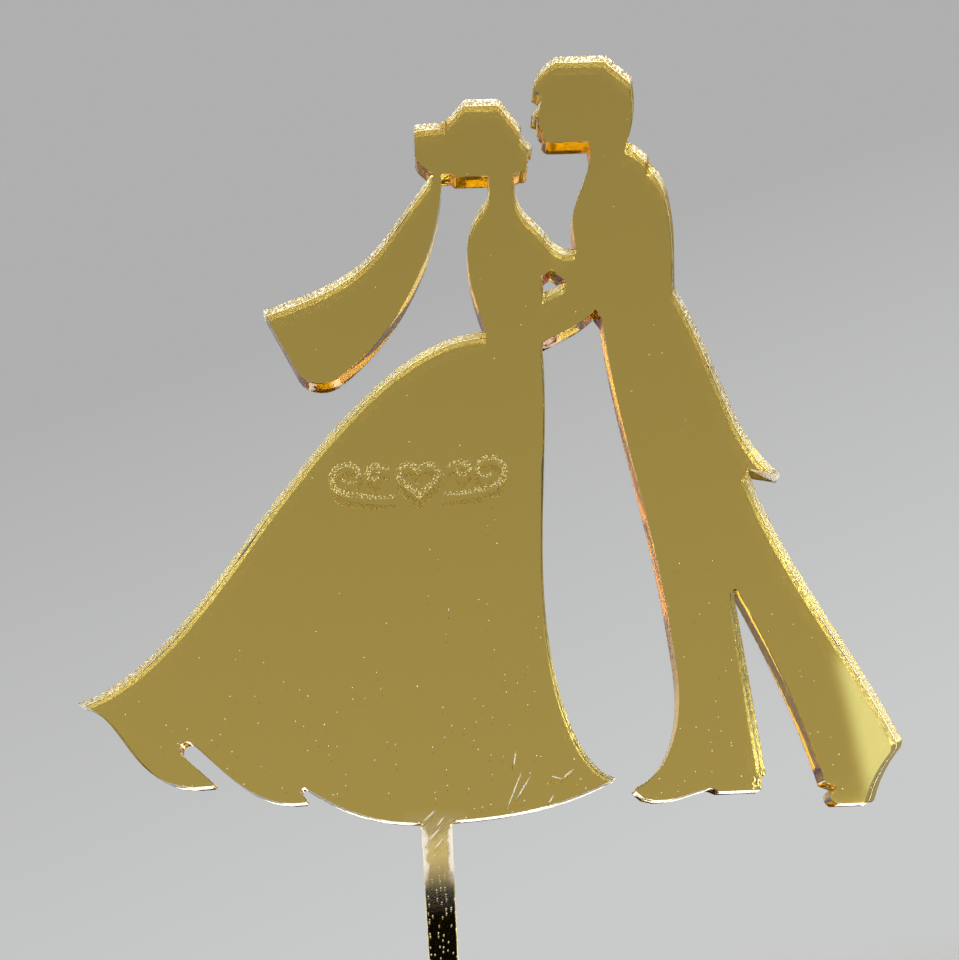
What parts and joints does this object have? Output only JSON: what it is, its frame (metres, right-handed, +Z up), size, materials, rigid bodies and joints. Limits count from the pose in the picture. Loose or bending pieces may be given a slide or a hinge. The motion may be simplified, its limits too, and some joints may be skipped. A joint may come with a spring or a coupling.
{
  "type": "cake topper",
  "caption": "Flat wedding cake topper: a bride and groom in silhouette, hand in hand, cut with their tapered stake from gold mirror acrylic; the stake is pushed into the cake.",
  "frame": {"origin": "on the centreline of the stake, level with the hem of the gown, half way through the sheet", "axes": "+Z up the couple, -Z along the stake into the cake, +X towards the groom, front mirror face towards -Y and painted back towards +Y"},
  "size_m": [0.1107, 0.003, 0.1995],
  "materials": {
    "tinted_acrylic": "clear cast acrylic tinted amber, polished front, walls with fine cutting lines",
    "mirror_metal": "bright evaporated metal seen through the acrylic",
    "backing_paint": "satin grey protective paint"
  },
  "bodies": {
    "root": {"acrylic_panel": "tinted_acrylic", "mirror_film": "mirror_metal", "back_coat": "backing_paint"}
  },
  "joints": []
}
